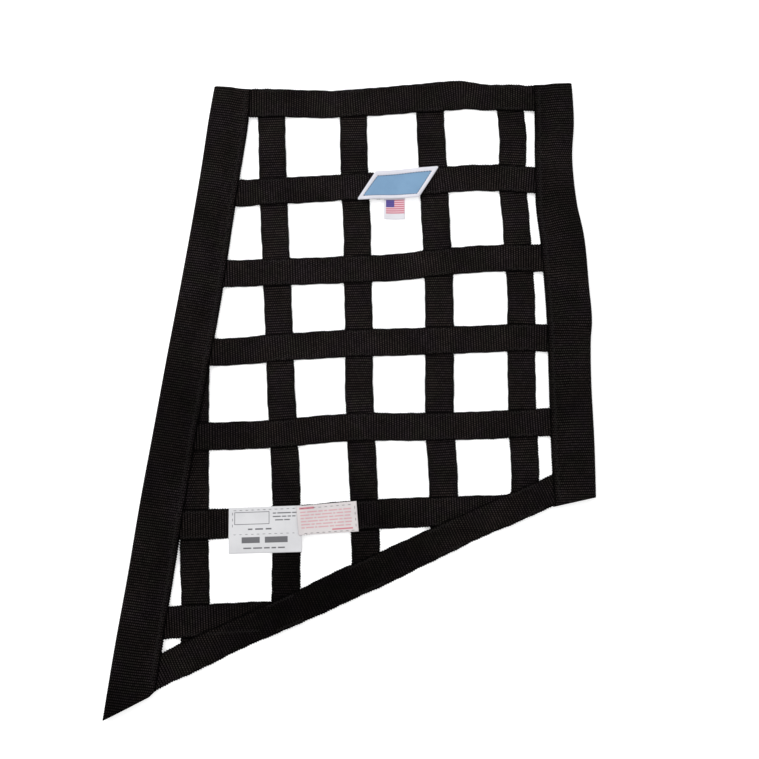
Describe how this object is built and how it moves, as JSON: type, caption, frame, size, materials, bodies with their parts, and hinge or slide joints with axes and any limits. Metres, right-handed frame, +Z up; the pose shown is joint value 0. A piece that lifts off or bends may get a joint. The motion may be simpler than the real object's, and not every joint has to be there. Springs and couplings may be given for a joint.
{
  "type": "racing window net",
  "caption": "Flat net of black webbing ribbons sewn in a grid between two folded rod sleeves, with a slanted lower edge and small sewn labels.",
  "frame": {"origin": "under the middle of the net, on the surface that it lies on", "axes": "+Y towards the top ribbon, +X towards the short sleeve, +Z up out of the face that carries the labels"},
  "size_m": [0.4306, 0.5782, 0.0074],
  "materials": {
    "ribbon_webbing": "black ribbed nylon webbing",
    "sleeve_webbing": "black ribbed nylon webbing",
    "name_patch": "pale blue woven patch with a white border",
    "flag_tab": "white woven tab with a small striped flag",
    "label_cloth": "smooth grey white label cloth"
  },
  "bodies": {
    "root": {"top_ribbon": "ribbon_webbing", "row_2": "ribbon_webbing", "row_3": "ribbon_webbing", "row_4": "ribbon_webbing", "row_5": "ribbon_webbing", "row_6": "ribbon_webbing", "row_7": "ribbon_webbing", "slanted_ribbon": "ribbon_webbing", "upright_at_sleeve": "ribbon_webbing", "upright_1": "ribbon_webbing", "upright_2": "ribbon_webbing", "upright_3": "ribbon_webbing", "upright_4": "ribbon_webbing", "sleeve_left": "sleeve_webbing", "sleeve_right": "sleeve_webbing", "name_patch": "name_patch", "flag_tab": "flag_tab", "certificate_label": "label_cloth", "small_label": "label_cloth"}
  },
  "joints": []
}
